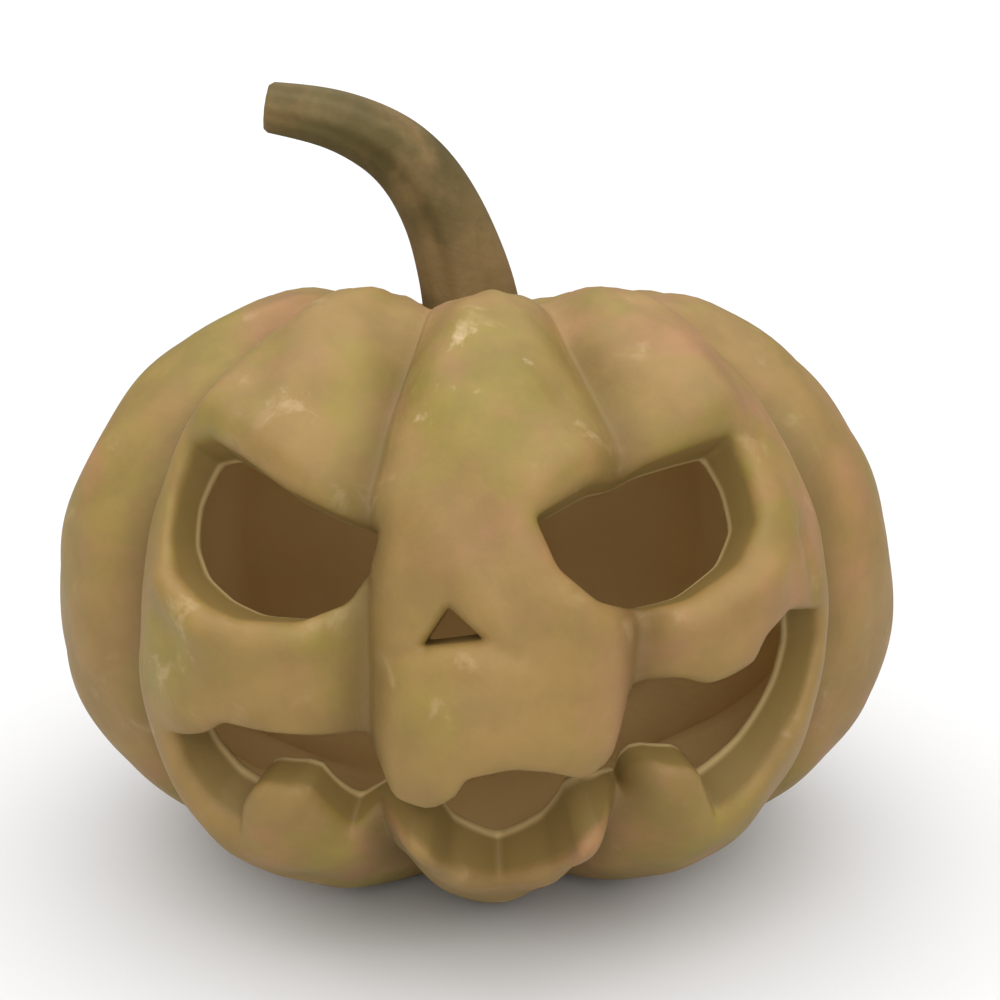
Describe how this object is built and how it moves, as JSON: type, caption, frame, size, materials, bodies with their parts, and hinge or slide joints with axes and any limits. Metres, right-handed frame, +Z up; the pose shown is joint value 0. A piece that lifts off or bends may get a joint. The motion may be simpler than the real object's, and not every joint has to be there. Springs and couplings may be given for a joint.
{
  "type": "carved pumpkin lantern",
  "caption": "Hollow carved pumpkin with deep ribs, a curved stem and a scowling face of slanted eyes, a small nose and a toothed grin.",
  "frame": {"origin": "middle of the box that holds the fruit, on the surface it stands on", "axes": "+Z up, the carved face looks along -Y, +X to the right of someone looking at the face"},
  "size_m": [0.2729, 0.2846, 0.2562],
  "materials": {
    "rind": "matt to slightly satin ochre rind, flesh of the same colour where it is cut, olive brown stem"
  },
  "bodies": {
    "root": {"pumpkin": "rind"}
  },
  "joints": []
}
